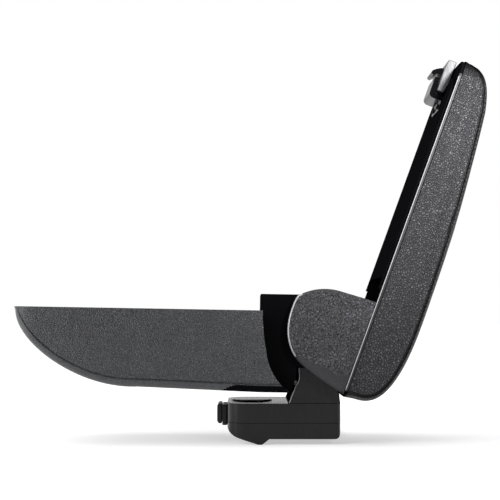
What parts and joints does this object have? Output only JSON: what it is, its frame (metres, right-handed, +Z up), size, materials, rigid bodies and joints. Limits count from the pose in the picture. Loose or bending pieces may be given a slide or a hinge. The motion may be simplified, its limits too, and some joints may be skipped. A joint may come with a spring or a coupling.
{
  "type": "centre armrest",
  "caption": "Adjustable centre armrest: a clamp foot and pillar carry a textured storage box whose padded lid swings open on a rear axle and shuts on a push latch.",
  "frame": {"origin": "middle of the foot's flat sole", "axes": "+Z up, square to the sole; the box points along -X from the hinge; Y runs across, along the axle"},
  "size_m": [0.4585, 0.128, 0.377],
  "materials": {
    "foot_black": "glossy moulded black plastic",
    "housing_black": "black moulded plastic, semi-gloss",
    "liner_black": "black moulded plastic",
    "latch_black": "glossy moulded black plastic",
    "satin_black": "satin black plastic",
    "textured_grey": "dark grey moulded plastic with a leather-like etched texture",
    "button_grey": "light grey satin plastic",
    "leatherette": "black grained leatherette, stitched",
    "foam": "moulded polyurethane foam",
    "mat": "soft ribbed mat",
    "steel": "plain machined steel"
  },
  "bodies": {
    "base": {"foot_lower_shell": "foot_black", "foot_upper_shell": "foot_black", "clamp_cap": "satin_black", "clamp_nut": "steel", "clamp_screw": "steel", "foot_screw_1": "steel", "foot_screw_2": "steel", "foot_screw_3": "steel", "foot_screw_4": "steel", "tab_bezel": "satin_black", "release_spring": "steel", "stem_shell": "foot_black", "stem_core": "steel", "hull_shell": "textured_grey", "tub_mat": "mat", "latch_strike": "satin_black", "hinge_housing": "housing_black", "hinge_axle": "steel", "hull_screw_1": "steel", "hull_screw_2": "steel", "hull_screw_3": "steel", "hull_screw_4": "steel", "friction_washer_left": "steel", "friction_washer_right": "steel"},
    "lid": {"cheek_left": "textured_grey", "cheek_right": "textured_grey", "lid_liner": "liner_black", "lid_board": "satin_black", "pad_foam": "foam", "pad_cover": "leatherette", "liner_screw_1": "steel", "liner_screw_2": "steel", "liner_screw_3": "steel", "liner_screw_4": "steel", "latch_frame": "latch_black", "latch_screw_1": "steel", "latch_screw_2": "steel", "latch_spring": "steel"},
    "latch": {"latch_button": "button_grey", "latch_hook": "latch_black"},
    "tab": {"release_tab": "satin_black"}
  },
  "joints": [
    {"name": "lid_hinge", "type": "hinge", "parent": "base", "child": "lid", "pos_m": [0.0188, 0, 0.0892], "axis": [0, -1, 0], "range_deg": [0, 109.25]},
    {"name": "latch_press", "type": "slide", "parent": "lid", "child": "latch", "axis": [-0.3461, 0, -0.9382], "range_m": [0, 0.003], "stiffness_N_per_m": 300, "springref_m": -0.004, "deforming": ["latch_spring"]},
    {"name": "tab_pull", "type": "slide", "parent": "base", "child": "tab", "axis": [-1, 0, 0], "range_m": [0, 0.005], "stiffness_N_per_m": 400, "springref_m": -0.004, "deforming": ["release_spring"]}
  ]
}
